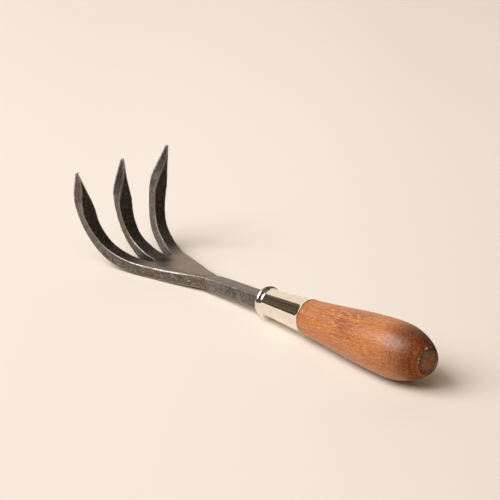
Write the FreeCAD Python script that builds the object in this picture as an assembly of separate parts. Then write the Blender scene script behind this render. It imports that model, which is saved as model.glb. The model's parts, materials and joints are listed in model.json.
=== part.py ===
import FreeCAD, Part
import math
import os

# Hand rake: a three-tine hand cultivator with a steel head on a square neck bar,
# a ferrule with a rolled bead, and a turned wooden handle.  Millimetres.
#
# The pieces are built in the tool frame: X runs along the handle's axis towards the
# tines, Z points to the side the tines curl towards, and the origin is the centre of
# the ferrule's mouth.  They are then turned and shifted to lie at rest: +Z is up, +X
# points towards the tines and the origin is the centre of the butt plug's flat face.
# "Front" is the +X side and "rear" the -X side.

Vector = FreeCAD.Vector
ORIGIN = Vector(0, 0, 0)
AXIS = Vector(1, 0, 0)

# ---------------------------------------------------------------- dimensions
# Ferrule; radii are outside unless noted
FERRULE_LEN = 43.3
FERRULE_R_FRONT = 9.2        # just behind the bead
FERRULE_R_REAR = 11.95
FERRULE_WALL = 0.9
BEAD_R = 10.9                # over the rolled bead
BEAD_SECTION_R = 1.9
BEAD_CENTRE_R = BEAD_R - BEAD_SECTION_R
BEAD_X = -BEAD_SECTION_R
BEAD_REAR_X = BEAD_X - math.sqrt(BEAD_SECTION_R ** 2 - (FERRULE_R_FRONT - BEAD_CENTRE_R) ** 2)
MOUTH_R = 8.12               # opening the neck bar passes through
MOUTH_REAR_X = BEAD_REAR_X - 0.4    # the inside widens from here to the rear
FERRULE_INNER_R_REAR = FERRULE_R_REAR - FERRULE_WALL
RIM_ROUND = 0.3

# Handle
GRIP_GAP = 0.15              # shadow line between ferrule rim and wood
GRIP = [                     # (distance behind the grip's front end, radius)
    (0.0, 12.05), (8.0, 12.75), (16.3, 13.55), (24.5, 14.45), (32.6, 15.35),
    (40.8, 16.3), (48.9, 17.15), (57.0, 17.85), (65.2, 18.4), (73.5, 18.85),
    (80.5, 18.95), (86.9, 18.4), (92.3, 17.25), (97.8, 15.35), (101.6, 13.65),
    (104.6, 11.95), (107.0, 10.2), (108.6, 8.75)]
TENON_SLACK = 0.05           # glue line between tenon and ferrule
TENON_FRONT = -8.0           # front face of the tenon, inside the ferrule
BORE_R = 4.1                 # long bore for the tang
COUNTERBORE_R = 8.3
COUNTERBORE_DEPTH = 17.5
GRIP_X = -FERRULE_LEN - GRIP_GAP
BUTT_X = GRIP_X - GRIP[-1][0]
FLOOR_X = BUTT_X + COUNTERBORE_DEPTH    # floor of the counterbore

# Washer and nut, seated on the counterbore's floor
WASHER_R = 8.0
WASHER_HOLE_R = 3.2
WASHER_T = 1.5
WASHER_CHAMFER = 0.2
NUT_AF = 10.0                # M6 hexagon, across flats
NUT_T = 5.0
NUT_HOLE_R = 3.02
NUT_CHAMFER_START = 0.97     # of the inscribed radius
NUT_CHAMFER_ANGLE = 30
NUT_FRONT_X = FLOOR_X - WASHER_T
NUT_REAR_X = NUT_FRONT_X - NUT_T

# Tang
TANG_R = 4.0
TANG_LAP = 1.0               # tang's start inside the neck bar
TANG_PAST_NUT = 1.6
THREAD_R = 2.97
THREAD_DEPTH = 0.55
THREAD_LEN = 12.5
THREAD_PITCH = 1.0
THREAD_RUNOUT = 1.0          # cone between the plain tang and the thread

# Butt plug
PLUG_R = 8.28
PLUG_DEPTH = 7.0             # inside the counterbore
PLUG_PROUD = 1.0
PLUG_EDGE = 0.35             # softened edge of the flat face

# Neck bar, square with broken corners: (x, half width, z bottom, z top)
NECK_MOUTH = (0.0, 5.25, -6.2, 4.75)
NECK_END = (54.4, 5.05, -6.75, 3.2)
NECK_BEVEL_TOP = 0.9
NECK_BEVEL_BOTTOM = 1.6

# Weld band between the neck's end and the palm
WELD_CROWN = 0.22
WELD_MID_BEVEL = 0.8 * NECK_BEVEL_BOTTOM
WELD_END_BEVEL_TOP = 0.3

# Tine head: one bent plate.  Its "face" is the upper, concave side, its "back" the other.
HEAD_FACE = [                # (x, z) of the face
    (57.4, 3.25), (66.0, 3.08), (78.0, 2.82), (89.3, 2.65), (101.3, 2.64),
    (111.29, 3.13), (119.18, 4.4), (124.9, 6.18), (130.38, 8.63),
    (135.5, 11.72), (139.57, 16.12), (142.61, 21.27), (144.6, 26.93),
    (145.6, 32.84), (145.88, 40.83), (145.4, 50.81), (144.95, 57.5),
    (144.95, 62.5), (145.3, 67.6)]
# Everything below is against s, the arc length along HEAD_FACE
S_START = 1.0                # at the weld
S_SLOT = 55.0                # rounded base of the slots
S_SPLIT = 59.0               # from here on the centre tine is thinner
S_SHOULDER = 109.5           # the tines narrow to their points from here
S_THIN = 128.0               # beyond this the point sections overrun the face less
OVERRUN = 4.0                # cutting sections are carried this far past the shoulder
THICK_OUTER = [              # (s, thickness) of palm and outer tines
    (1.0, 9.95), (15.0, 9.5), (33.0, 8.95), (52.0, 8.65), (S_SPLIT, 8.6),
    (67.0, 8.6), (75.0, 8.6), (84.0, 8.2), (92.0, 7.6), (100.0, 6.8),
    (109.5, 6.0), (116.5, 5.75), (123.0, 5.0), (130.0, 3.9), (135.0, 2.7),
    (139.9, 1.3)]
THICK_CENTRE = THICK_OUTER[:5] + [    # (s, thickness), as the palm up to the split
    (67.0, 8.0), (75.0, 7.05), (84.0, 6.1), (92.0, 5.5), (100.0, 5.15),
    (109.5, 5.05), (116.5, 5.2), (123.0, 4.8), (130.0, 3.8), (135.0, 2.7),
    (139.9, 1.3)]
OUTER_EDGE = [               # (s, half width over all)
    (1.0, 5.1), (5.0, 5.6), (9.0, 6.65), (14.0, 8.2), (21.0, 10.4), (30.0, 13.1),
    (39.0, 15.5), (48.0, 17.95), (57.0, 20.8), (66.0, 23.7), (75.0, 26.6),
    (84.0, 29.5), (92.0, 32.2), (100.0, 35.1), (S_SHOULDER, 38.1)]
INNER_EDGE = [               # (s, distance of an outer tine's inner edge from the middle)
    (S_SLOT, 10.35), (63.45, 13.5), (69.6, 15.65), (77.1, 18.05), (84.1, 20.25),
    (91.2, 22.55), (98.7, 24.7), (104.5, 26.0), (S_SHOULDER, 26.85)]
CENTRE_HALF = [              # (s, half width of the centre tine)
    (S_SLOT, 5.45), (63.0, 5.35), (70.5, 5.15), (79.9, 4.85), (87.4, 4.9),
    (95.9, 5.35), (103.4, 5.75), (S_SHOULDER, 5.85)]
LOWER_BEVEL = [(1.0, 1.3), (40.0, 1.2), (70.0, 0.7), (109.5, 0.1)]    # (s, bevel)
SLOT_BASE_R = 2.42
CENTRE_CLEARANCE = 0.2       # cut away beside the centre tine before it is replaced
CLEARANCE_HALF_END = 7.0     # half width of that cut past the shoulder
PLATE_HALF_WIDTH = 60.0      # wider than the head

# Stations of the lofted sections
PALM_STATIONS = [
    -3.0, S_START, 5.0, 9.0, 14.0, 21.0, 30.0, 39.0, 48.0, 57.0, 66.0, 75.0, 84.0,
    92.0, 100.0, 105.0, S_SHOULDER]
SLOT_STATIONS = [
    S_SLOT, 59.0, 63.5, 70.0, 77.0, 84.0, 91.0, 98.0, 104.5, S_SHOULDER,
    S_SHOULDER + OVERRUN]
CENTRE_STATIONS = [S_SPLIT, 63.0, 70.0, 77.0, 84.0, 91.0, 98.0, 104.5, S_SHOULDER]

# Points: (s, face from the tine's centre to its -Y edge, to its +Y edge, half width
# at the back).  The face is narrower on the +Y side.
CENTRE_AT_SHOULDER = CENTRE_HALF[-1][1]
OUTER_AT_SHOULDER = (OUTER_EDGE[-1][1] - INNER_EDGE[-1][1]) / 2
CENTRE_POINT = [
    (S_SHOULDER, CENTRE_AT_SHOULDER, CENTRE_AT_SHOULDER, CENTRE_AT_SHOULDER),
    (116.5, 4.0, 3.6, 5.75), (123.0, 2.4, 1.45, 4.3), (130.0, 1.2, 0.4, 2.75),
    (135.5, 0.8, 0.15, 1.5), (139.9, 0.5, 0.2, 0.5)]
PLUS_POINT = [
    (S_SHOULDER, OUTER_AT_SHOULDER, OUTER_AT_SHOULDER, OUTER_AT_SHOULDER),
    (116.5, 4.6, 4.1, 5.75), (123.0, 3.2, 2.1, 4.5), (130.0, 1.7, 0.4, 2.85),
    (135.5, 0.9, -0.2, 1.5), (139.9, 0.5, -0.1, 0.5)]
MINUS_POINT = [
    (S_SHOULDER, OUTER_AT_SHOULDER, OUTER_AT_SHOULDER, OUTER_AT_SHOULDER),
    (116.5, 4.6, 3.7, 5.75), (123.0, 3.2, 1.7, 4.5), (130.0, 1.7, 0.0, 2.85),
    (135.5, 0.9, -0.35, 1.5), (139.9, 0.5, -0.1, 0.5)]
OUTER_POINT_CENTRE = [       # (s, distance of an outer tine's centre from the middle)
    (S_SHOULDER, (OUTER_EDGE[-1][1] + INNER_EDGE[-1][1]) / 2), (116.5, 34.2),
    (123.0, 35.95), (130.0, 37.9), (135.5, 39.45), (139.9, 40.6)]


# ------------------------------------------------------------------- helpers
def monotone_cubic(table):
    """Function through a table of (s, value), carried on straight past its ends."""
    xs, ys = zip(*table)
    last = len(xs) - 1
    steps = [xs[i + 1] - xs[i] for i in range(last)]
    chords = [(ys[i + 1] - ys[i]) / steps[i] for i in range(last)]
    slopes = [chords[0]] + [0.0] * (last - 1) + [chords[-1]]
    for i in range(1, last):
        if chords[i - 1] * chords[i] > 0:
            weight_a = 2 * steps[i] + steps[i - 1]
            weight_b = steps[i] + 2 * steps[i - 1]
            slopes[i] = (weight_a + weight_b) / (weight_a / chords[i - 1] + weight_b / chords[i])

    def value(x):
        i = 0
        while i < last - 1 and x > xs[i + 1]:
            i += 1
        t = (x - xs[i]) / steps[i]
        if t < 0:
            return ys[0] + slopes[0] * (x - xs[0])
        if t > 1:
            return ys[-1] + slopes[-1] * (x - xs[-1])
        return ((1 + 2 * t) * (1 - t) ** 2 * ys[i]
                + t * (1 - t) ** 2 * steps[i] * slopes[i]
                + t * t * (3 - 2 * t) * ys[i + 1]
                + t * t * (t - 1) * steps[i] * slopes[i + 1])

    return value


def bspline(points):
    curve = Part.BSplineCurve()
    curve.interpolate(points)
    return curve


def polygon(points):
    return Part.makePolygon(points + points[:1])


def profile_line(start, end):
    """Edge between two (x, r) points."""
    return Part.makeLine(*[Vector(x, 0, r) for x, r in (start, end)])


def profile_arc(start, middle, end):
    """Arc through three (x, r) points."""
    return Part.Arc(*[Vector(x, 0, r) for x, r in (start, middle, end)]).toShape()


def revolve_wire(wire):
    return Part.Face(wire).revolve(ORIGIN, AXIS, 360)


def revolve(points):
    """Closed profile of (x, r) points turned about the X axis."""
    return revolve_wire(polygon([Vector(x, 0, r) for x, r in points]))


def loft(wires, ruled=False):
    return Part.makeLoft(wires, True, ruled)


# ------------------------------------------------------------------- ferrule
def on_bead(direction, degrees):
    """(x, r) on the bead's section, direction +1 on its front and -1 on its rear."""
    angle = math.radians(degrees)
    return (BEAD_X + direction * BEAD_SECTION_R * math.cos(angle),
            BEAD_CENTRE_R + BEAD_SECTION_R * math.sin(angle))


def make_ferrule():
    bead_reach = math.sqrt(BEAD_SECTION_R ** 2 - (BEAD_CENTRE_R - MOUTH_R) ** 2)
    mouth_front = (BEAD_X + bead_reach, MOUTH_R)
    bead_top = (BEAD_X, BEAD_R)
    bead_rear = (BEAD_REAR_X, FERRULE_R_FRONT)
    slope = (FERRULE_R_REAR - FERRULE_R_FRONT) / (FERRULE_LEN + BEAD_REAR_X)
    rim_start = (-FERRULE_LEN + RIM_ROUND, FERRULE_R_REAR - slope * RIM_ROUND)
    rim_inset = RIM_ROUND * (1 - math.cos(math.radians(45)))
    rim_middle = (-FERRULE_LEN + rim_inset, FERRULE_R_REAR - rim_inset)
    rim_end = (-FERRULE_LEN, FERRULE_R_REAR - RIM_ROUND)
    inner_rear = (-FERRULE_LEN, FERRULE_INNER_R_REAR)
    mouth_rear = (MOUTH_REAR_X, MOUTH_R)
    return revolve_wire(Part.Wire([
        profile_arc(mouth_front, on_bead(1, 20), bead_top),
        profile_arc(bead_top, on_bead(-1, 50), bead_rear),
        profile_line(bead_rear, rim_start),
        profile_arc(rim_start, rim_middle, rim_end),
        profile_line(rim_end, inner_rear),
        profile_line(inner_rear, mouth_rear),
        profile_line(mouth_rear, mouth_front)]))


def ferrule_inner_r(x):
    t = (x - MOUTH_REAR_X) / (-FERRULE_LEN - MOUTH_REAR_X)
    return MOUTH_R + t * (FERRULE_INNER_R_REAR - MOUTH_R)


# -------------------------------------------------------------------- handle
def make_handle():
    grip_curve = bspline([Vector(GRIP_X - distance, 0, r) for distance, r in GRIP])
    corners = [                  # from the butt, through the bore, to the grip's front end
        (BUTT_X, GRIP[-1][1]),
        (BUTT_X, COUNTERBORE_R),
        (FLOOR_X, COUNTERBORE_R),
        (FLOOR_X, BORE_R),
        (TENON_FRONT, BORE_R),
        (TENON_FRONT, ferrule_inner_r(TENON_FRONT) - TENON_SLACK),
        (GRIP_X, ferrule_inner_r(-FERRULE_LEN) - TENON_SLACK),
        (GRIP_X, GRIP[0][1])]
    edges = [grip_curve.toShape()]
    edges += [profile_line(a, b) for a, b in zip(corners[:-1], corners[1:])]
    return revolve_wire(Part.Wire(Part.__sortEdges__(edges)))


# --------------------------------------------------------- neck, tang, fixing
def bar_section(x, half_width, z_bottom, z_top,
                bevel_top=NECK_BEVEL_TOP, bevel_bottom=NECK_BEVEL_BOTTOM):
    right = [(half_width - bevel_top, z_top), (half_width, z_top - bevel_top),
             (half_width, z_bottom + bevel_bottom), (half_width - bevel_bottom, z_bottom)]
    left = [(-y, z) for y, z in reversed(right)]
    return polygon([Vector(x, y, z) for y, z in right + left])


def make_tang():
    """Round tang with a thread of separate ring grooves at its rear end."""
    end = NUT_REAR_X - TANG_PAST_NUT
    thread_front = end + THREAD_LEN
    tang_front = TENON_FRONT + TANG_LAP
    root_r = THREAD_R - THREAD_DEPTH
    points = [(tang_front, 0.0), (tang_front, TANG_R),
              (thread_front + THREAD_RUNOUT, TANG_R), (thread_front, root_r)]
    x = thread_front
    while x - THREAD_PITCH > end + 0.8:
        points.append((x - 0.44 * THREAD_PITCH, THREAD_R))
        points.append((x - 0.56 * THREAD_PITCH, THREAD_R))
        x -= THREAD_PITCH
        points.append((x, root_r))
    points += [(end + 0.3, THREAD_R - 0.35), (end, THREAD_R - 0.8), (end, 0.0)]
    return revolve(points)


def make_neck():
    # inside the ferrule the bar keeps its section at the mouth
    shoulder, mouth, end = [
        bar_section(*place) for place in ((TENON_FRONT,) + NECK_MOUTH[1:], NECK_MOUTH, NECK_END)]
    bar = loft([shoulder, mouth], True).fuse(loft([mouth, end], True))
    return bar.fuse(make_tang()).removeSplitter()


def make_washer():
    rear = FLOOR_X - WASHER_T
    return revolve([(FLOOR_X, WASHER_HOLE_R), (FLOOR_X, WASHER_R),
                    (rear + WASHER_CHAMFER, WASHER_R), (rear, WASHER_R - WASHER_CHAMFER),
                    (rear, WASHER_HOLE_R)])


def make_nut():
    corner_r = NUT_AF / math.sqrt(3)
    angles = [math.radians(60 * i) for i in range(6)]
    hexagon = polygon([Vector(NUT_REAR_X, corner_r * math.cos(a), corner_r * math.sin(a))
                       for a in angles])
    body = Part.Face(hexagon).extrude(Vector(NUT_T, 0, 0))
    # both faces are chamfered from just inside the flats
    chamfer_r = NUT_AF / 2 * NUT_CHAMFER_START
    far_r = corner_r + 1
    drop = math.tan(math.radians(NUT_CHAMFER_ANGLE)) * (far_r - chamfer_r)
    body = body.common(revolve([
        (NUT_FRONT_X, 0), (NUT_FRONT_X, chamfer_r), (NUT_FRONT_X - drop, far_r),
        (NUT_REAR_X + drop, far_r), (NUT_REAR_X, chamfer_r), (NUT_REAR_X, 0)]))
    body = body.cut(Part.makeCylinder(
        NUT_HOLE_R, NUT_T + 2, Vector(NUT_REAR_X - 1, 0, 0), AXIS))
    # countersink at both ends of the hole
    for face_x, outward in ((NUT_FRONT_X, 1), (NUT_REAR_X, -1)):
        outside = face_x + outward * 0.1
        inside = face_x - outward * 0.5
        body = body.cut(revolve([(outside, 0), (outside, NUT_HOLE_R + 0.6),
                                 (inside, NUT_HOLE_R), (inside, 0)]))
    return body


def make_plug():
    front = BUTT_X + PLUG_DEPTH
    rear = BUTT_X - PLUG_PROUD
    return revolve([(front, 0), (front, PLUG_R - 0.4), (front - 0.8, PLUG_R),
                    (rear + PLUG_EDGE, PLUG_R), (rear + 0.1, PLUG_R - 0.12),
                    (rear, PLUG_R - PLUG_EDGE), (rear, 0)])


# ---------------------------------------------------------------------- head
# Arc length along the face, tabulated against the curve's parameter
face_curve = bspline([Vector(x, 0, z) for x, z in HEAD_FACE])
ARC_STEPS = 1200
first_param = face_curve.FirstParameter
param_range = face_curve.LastParameter - first_param
face_params = [first_param + param_range * i / ARC_STEPS for i in range(ARC_STEPS + 1)]
face_points = [face_curve.value(param) for param in face_params]
arc_lengths = [S_START]
for start, end in zip(face_points[:-1], face_points[1:]):
    arc_lengths.append(arc_lengths[-1] + (end - start).Length)
S_TIP = arc_lengths[-1]

thick_outer = monotone_cubic(THICK_OUTER)
thick_centre = monotone_cubic(THICK_CENTRE)
outer_edge = monotone_cubic(OUTER_EDGE)
inner_edge = monotone_cubic(INNER_EDGE)
centre_half = monotone_cubic(CENTRE_HALF)
lower_bevel = monotone_cubic(LOWER_BEVEL)
outer_point_centre = monotone_cubic(OUTER_POINT_CENTRE)


def station(s):
    """Point on the face at s, and the normal that points into the steel.
    Past the curve's ends the point runs on along the tangent."""
    on_curve = min(max(s, S_START), S_TIP)
    low, high = 0, ARC_STEPS
    while high - low > 1:
        middle = (low + high) // 2
        if arc_lengths[middle] > on_curve:
            high = middle
        else:
            low = middle
    fraction = (on_curve - arc_lengths[low]) / (arc_lengths[high] - arc_lengths[low])
    param = face_params[low] + (face_params[high] - face_params[low]) * fraction
    tangent = Vector(*face_curve.tangent(param)[0])
    tangent.normalize()
    point = face_curve.value(param) + tangent * (s - on_curve)
    return point, Vector(tangent.z, 0, -tangent.x)


def tine_section(s, face_edges, back_edges, thickness=thick_outer, over_face=2.0):
    """Section between two y edges.  The side walls are carried on past the face
    and the back, so that the plate trims them."""
    over_back = 4.0
    point, normal = station(s)
    depth = thickness(s)
    above = point - normal * over_face
    below = point + normal * (depth + over_back)
    slopes = [(back - face) / depth for face, back in zip(face_edges, back_edges)]
    upper = [Vector(above.x, y - slope * over_face, above.z)
             for y, slope in zip(face_edges, slopes)]
    lower = [Vector(below.x, y + slope * over_back, below.z)
             for y, slope in zip(back_edges, slopes)]
    return polygon(upper + lower[::-1])


def straight_section(s, edge_a, edge_b, thickness=thick_outer):
    edges = (min(edge_a, edge_b), max(edge_a, edge_b))
    return tine_section(s, edges, edges, thickness)


def outline_section(s):
    """Full-width section whose two lower edges are bevelled."""
    over = 2.0
    table_s = max(s, S_START)
    y = outer_edge(table_s)
    bevel = lower_bevel(table_s)
    depth = thick_outer(table_s)
    point, normal = station(s)
    above = point - normal * over
    knee = point + normal * (depth - bevel)
    below = point + normal * (depth + over)
    y_below = y - bevel - over
    return polygon([
        Vector(above.x, -y, above.z), Vector(above.x, y, above.z),
        Vector(knee.x, y, knee.z), Vector(below.x, y_below, below.z),
        Vector(below.x, -y_below, below.z), Vector(knee.x, -y, knee.z)])


def make_plate(thickness):
    """The bent plate of the given thickness, wider than the head."""
    steps = 34
    # the end at the weld is cut square to the handle's axis
    back_points = [face_points[0] - Vector(0, 0, thickness(S_START))]
    for i in range(1, steps + 1):
        s = S_START + (S_TIP - S_START) * i / steps
        point, normal = station(s)
        back_points.append(point + normal * thickness(s))
    wire = Part.Wire(Part.__sortEdges__([
        face_curve.toShape(), bspline(back_points).toShape(),
        Part.makeLine(face_points[0], back_points[0]),
        Part.makeLine(face_points[-1], back_points[-1])]))
    side = Part.Face(wire)
    side.translate(Vector(0, -PLATE_HALF_WIDTH, 0))
    return side.extrude(Vector(0, 2 * PLATE_HALF_WIDTH, 0))


def cut_slot(body, side):
    """Slot on one side of the centre tine, with a round base."""
    body = body.cut(loft([
        straight_section(s, side * centre_half(min(s, S_SHOULDER)), side * inner_edge(s))
        for s in SLOT_STATIONS]))
    point, normal = station(S_SLOT)
    start = point - normal * 3.0
    start.y = (centre_half(S_SLOT) + inner_edge(S_SLOT)) / 2 * side
    return body.cut(Part.makeCylinder(SLOT_BASE_R, thick_outer(S_SLOT) + 8.0, start, normal))


def point_section(row, is_tip, side, thickness):
    s, face_minus, face_plus, back_half = row
    y = side * outer_point_centre(s)
    return tine_section(
        S_TIP if is_tip else s, (y - face_minus, y + face_plus),
        (y - back_half, y + back_half), thickness, 0.35 if s > S_THIN else 1.2)


def make_head():
    outer_plate = make_plate(thick_outer)
    centre_plate = make_plate(thick_centre)

    # palm and outer tines, up to the shoulders
    body = outer_plate.common(loft([outline_section(s) for s in PALM_STATIONS]))
    for side in (1, -1):
        body = cut_slot(body, side)

    # the centre tine is replaced by its own, thinner one
    cleared = []
    centre_tine = []
    for s in CENTRE_STATIONS:
        y = centre_half(s)
        cleared.append(straight_section(s, -y - CENTRE_CLEARANCE, y + CENTRE_CLEARANCE))
        centre_tine.append(straight_section(s, -y, y, thick_centre))
    cleared.append(straight_section(
        S_SHOULDER + OVERRUN, -CLEARANCE_HALF_END, CLEARANCE_HALF_END))
    body = body.cut(loft(cleared))
    pieces = [centre_plate.common(loft(centre_tine))]

    # points beyond the shoulders
    for side, table, stock, thickness in (
            (0, CENTRE_POINT, centre_plate, thick_centre),
            (1, PLUS_POINT, outer_plate, thick_outer),
            (-1, MINUS_POINT, outer_plate, thick_outer)):
        sections = [point_section(row, row is table[-1], side, thickness) for row in table]
        for pair in zip(sections[:-1], sections[1:]):
            pieces.append(stock.common(loft(list(pair), True)))

    for piece in pieces:
        body = body.fuse(piece)
    return body.removeSplitter()


def make_weld():
    head_x, head_top = HEAD_FACE[0]
    head_start = (head_x, OUTER_EDGE[0][1], head_top - THICK_OUTER[0][1], head_top)
    x, half_width, z_bottom, z_top = [(a + b) / 2 for a, b in zip(NECK_END, head_start)]
    return loft([
        bar_section(*NECK_END),
        bar_section(x, half_width + WELD_CROWN, z_bottom - WELD_CROWN, z_top + WELD_CROWN,
                    bevel_bottom=WELD_MID_BEVEL),
        bar_section(*head_start, WELD_END_BEVEL_TOP, LOWER_BEVEL[0][1])])


# ---------------------------------------------------------- resting attitude
def lowest(points, tilt):
    return min(-math.sin(tilt) * x + math.cos(tilt) * z for x, z in points)


def resting_tilt():
    """Slope of the tool axis, down towards the tines, at which the handle's belly
    and the backs of the tines touch the ground together."""
    belly = [(GRIP_X - distance, -r) for distance, r in GRIP]
    backs = []
    for i in range(101):
        s = S_START + (S_TIP - S_START) * i / 100
        point, normal = station(s)
        back = point + normal * thick_outer(s)
        backs.append((back.x, back.z))
    low, high = 0.0, math.radians(15)
    for _ in range(60):
        middle = (low + high) / 2
        if lowest(belly, middle) < lowest(backs, middle):
            low = middle
        else:
            high = middle
    return (low + high) / 2


# ------------------------------------------------------------------- assembly
nodes = {
    "tine_head": make_head(),
    "neck_weld": make_weld(),
    "neck_tang": make_neck(),
    "ferrule": make_ferrule(),
    "handle": make_handle(),
    "tang_washer": make_washer(),
    "tang_nut": make_nut(),
    "butt_plug": make_plug(),
}
turn = FreeCAD.Placement(
    ORIGIN, FreeCAD.Rotation(Vector(0, 1, 0), math.degrees(resting_tilt())))

os.makedirs("parts", exist_ok=True)
for name, shape in nodes.items():
    shape.translate(Vector(PLUG_PROUD - BUTT_X, 0, 0))
    placed = shape.transformed(turn.toMatrix(), True)
    assert len(placed.Solids) == 1, name
    assert placed.Solids[0].isValid(), name
    placed.Solids[0].exportStep("parts/%s.step" % name)
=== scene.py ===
"""A hand rake: turned wooden handle, polished ferrule, steel neck, forged tine head.

It is drawn in tool coordinates: millimetres, x along the handle's axis towards the
tines with 0 at the ferrule's mouth, z towards the side the tines curl to.  The frame
itself is in metres with its origin at the middle of the butt face, and the tool lies
in it pitched about Y by TILT.
"""

import json
import math

import bpy
import bmesh
import numpy as np
from mathutils import Matrix, Vector, noise


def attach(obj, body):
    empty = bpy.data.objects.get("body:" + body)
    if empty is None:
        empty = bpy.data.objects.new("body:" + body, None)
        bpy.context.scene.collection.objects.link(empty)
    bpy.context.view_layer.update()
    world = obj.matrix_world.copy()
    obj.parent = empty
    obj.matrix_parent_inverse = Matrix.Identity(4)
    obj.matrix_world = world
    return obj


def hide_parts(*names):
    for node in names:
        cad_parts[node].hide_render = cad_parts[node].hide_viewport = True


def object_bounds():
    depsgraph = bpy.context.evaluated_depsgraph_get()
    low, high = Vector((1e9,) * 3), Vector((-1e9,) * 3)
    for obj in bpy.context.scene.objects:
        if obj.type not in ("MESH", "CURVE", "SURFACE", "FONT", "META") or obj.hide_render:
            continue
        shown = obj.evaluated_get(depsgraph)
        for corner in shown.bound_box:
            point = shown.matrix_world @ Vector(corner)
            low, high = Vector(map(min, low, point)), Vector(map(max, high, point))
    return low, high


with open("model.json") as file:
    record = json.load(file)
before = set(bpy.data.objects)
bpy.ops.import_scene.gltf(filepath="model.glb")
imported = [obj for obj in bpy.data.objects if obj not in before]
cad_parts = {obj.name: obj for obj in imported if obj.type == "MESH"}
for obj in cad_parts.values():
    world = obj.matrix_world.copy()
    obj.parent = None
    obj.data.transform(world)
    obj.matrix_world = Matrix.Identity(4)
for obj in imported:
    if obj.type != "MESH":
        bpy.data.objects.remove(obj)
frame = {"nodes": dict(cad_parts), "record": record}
cad_lo, cad_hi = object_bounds()

# ------------------------------------------------- dimensions shared by pieces, mm
FERRULE_LENGTH = 43.3
FERRULE_GAP = 0.15          # between the ferrule's rear edge and the grip
GRIP_LENGTH = 108.6
PLUG_PROUD = 1.0            # the plug stands this far out of the handle
PLUG_BORE_DEPTH = 17.5
SHOULDER_X = -8.0           # where the wood ends inside the ferrule and the bar begins
TANG_RADIUS = 4.0

HANDLE_FRONT = -FERRULE_LENGTH - FERRULE_GAP
HANDLE_BUTT = HANDLE_FRONT - GRIP_LENGTH
BORE_FLOOR = HANDLE_BUTT + PLUG_BORE_DEPTH
BUTT_FACE = HANDLE_BUTT - PLUG_PROUD

# the pieces stay this far inside the CAD's bounds, metres
MARGIN = 0.00002
inside_lo = np.array(cad_lo) + MARGIN
inside_hi = np.array(cad_hi) - MARGIN

# ------------------------------------------------------------------ coordinates
butt_axis = [mount for mount in frame["record"]["mounts"]
             if mount["name"] == "butt_face"][0]["axis"]
TILT = math.atan2(butt_axis[2], -butt_axis[0])
COS_TILT, SIN_TILT = math.cos(TILT), math.sin(TILT)


def to_frame(points):
    """Tool millimetres -> frame metres."""
    points = np.asarray(points, float)
    x, y, z = points[:, 0] - BUTT_FACE, points[:, 1], points[:, 2]
    return np.stack([x * COS_TILT + z * SIN_TILT, y,
                     -x * SIN_TILT + z * COS_TILT], -1) / 1000.0


def to_tool(points):
    """Frame metres -> tool millimetres."""
    x, y, z = (points * 1000.0).T
    return np.stack([x * COS_TILT - z * SIN_TILT + BUTT_FACE, y,
                     x * SIN_TILT + z * COS_TILT], -1)


def rise(values, span):
    """Smooth step: 0 at the span's first value, 1 at its second."""
    start, end = span
    t = np.clip((np.asarray(values, float) - start) / (end - start), 0, 1)
    return t * t * (3 - 2 * t)


def fall(values, span):
    return 1.0 - rise(values, span)


def noise_field(points, scale, shift=(0, 0, 0)):
    """Noise at each point, after scaling and shifting it."""
    return np.array([noise.noise(Vector(p)) for p in np.asarray(points) * scale + shift])


# ----------------------------------------------------------------- mesh helpers
def read_vectors(mesh, name):
    values = np.zeros(len(mesh.vertices) * 3)
    mesh.vertices.foreach_get(name, values)
    return values.reshape(-1, 3)


def write_points(mesh, points):
    mesh.vertices.foreach_set("co", points.ravel())
    mesh.update()


def shade_smooth(mesh):
    mesh.polygons.foreach_set("use_smooth", [True] * len(mesh.polygons))


def new_object(name, points, faces):
    """A smooth-shaded object from tool points, its faces turned outwards."""
    mesh = bpy.data.meshes.new(name)
    mesh.from_pydata([tuple(p) for p in to_frame(points)], [], faces)
    mesh.validate()
    mesh.update()
    ob = bpy.data.objects.new(name, mesh)
    bpy.context.scene.collection.objects.link(ob)
    shade_smooth(mesh)
    bm = bmesh.new()
    bm.from_mesh(mesh)
    bmesh.ops.recalc_face_normals(bm, faces=bm.faces)
    bm.to_mesh(mesh)
    bm.free()
    return ob


def sharpen(ob, degrees):
    """Breaks the smooth shading at edges that turn by more than this."""
    bm = bmesh.new()
    bm.from_mesh(ob.data)
    limit = math.radians(degrees)
    for edge in bm.edges:
        if len(edge.link_faces) == 2:
            edge.smooth = edge.calc_face_angle(0.0) < limit
    bm.to_mesh(ob.data)
    bm.free()


def finish_piece(ob, material, node, sharp_angle=None):
    if sharp_angle:
        sharpen(ob, sharp_angle)
    ob.data.materials.clear()
    ob.data.materials.append(material)
    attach(ob, "root")
    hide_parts(node)
    return ob


def lathe(name, profile, segments, closed=True):
    """Turns (x, r) points about the tool's axis.  The profile is a loop if closed;
    a point with r = 0 becomes one vertex."""
    points, rings = [], []
    for x, r in profile:
        first = len(points)
        if r < 1e-6:
            points.append((x, 0.0, 0.0))
        else:
            for i in range(segments):
                a = 2 * math.pi * i / segments
                points.append((x, r * math.cos(a), r * math.sin(a)))
        rings.append(list(range(first, len(points))))
    faces = []
    for k in range(len(rings) if closed else len(rings) - 1):
        a, b = rings[k], rings[(k + 1) % len(rings)]
        for i in range(segments):
            j = (i + 1) % segments
            if len(a) == 1:
                faces.append((a[0], b[j], b[i]))
            elif len(b) == 1:
                faces.append((a[i], a[j], b[0]))
            else:
                faces.append((a[i], a[j], b[j], b[i]))
    return new_object(name, points, faces)


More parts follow.
